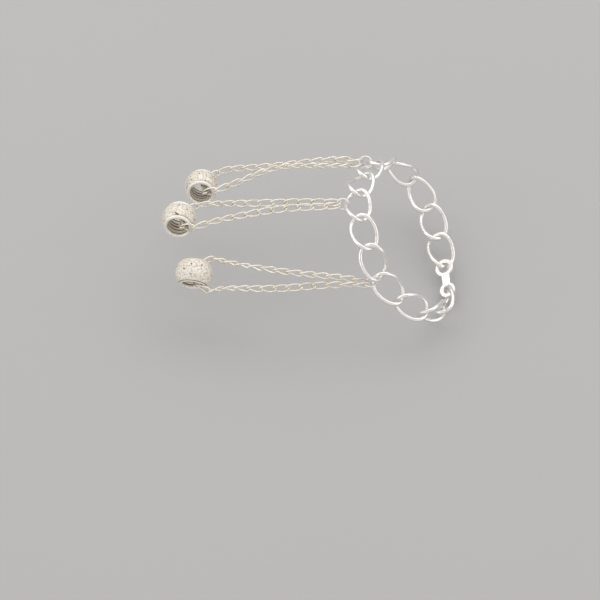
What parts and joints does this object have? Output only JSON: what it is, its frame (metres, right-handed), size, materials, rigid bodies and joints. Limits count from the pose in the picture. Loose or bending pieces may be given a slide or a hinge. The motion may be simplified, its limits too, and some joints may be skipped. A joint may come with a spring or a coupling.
{
  "type": "hand chain bracelet",
  "caption": "Hand chain bracelet: a coarse curb chain for the wrist and fine double chains over the back of the hand, each threaded through a large barrel bead with a wide bore between the fingers.",
  "frame": {"origin": "middle of the space for the wrist, inside the wrist chain", "axes": "+X towards the forearm, +Y across the hand towards the little finger, +Z out of the back of the hand"},
  "size_m": [0.1269, 0.0786, 0.0515],
  "materials": {
    "wrist_chain": "bright polished silver plating",
    "finger_chain": "bright polished silver plating",
    "bead": "granulated cast surface in worn silver plating, with polished rims"
  },
  "bodies": {
    "root": {"wrist_link_01": "wrist_chain", "wrist_link_02": "wrist_chain", "wrist_link_03": "wrist_chain", "wrist_link_04": "wrist_chain", "wrist_link_05": "wrist_chain", "wrist_link_06": "wrist_chain", "wrist_link_07": "wrist_chain", "wrist_link_08": "wrist_chain", "wrist_link_09": "wrist_chain", "wrist_link_10": "wrist_chain", "wrist_link_11": "wrist_chain", "wrist_link_13": "wrist_chain", "wrist_link_14": "wrist_chain", "wrist_link_15": "wrist_chain", "clasp": "wrist_chain", "jump_ring_little": "finger_chain", "jump_ring_ring": "finger_chain", "jump_ring_middle": "finger_chain", "finger_chain_little": "finger_chain", "finger_chain_ring": "finger_chain", "finger_chain_middle": "finger_chain", "bead_little": "bead", "bead_ring": "bead", "bead_middle": "bead"}
  },
  "joints": []
}
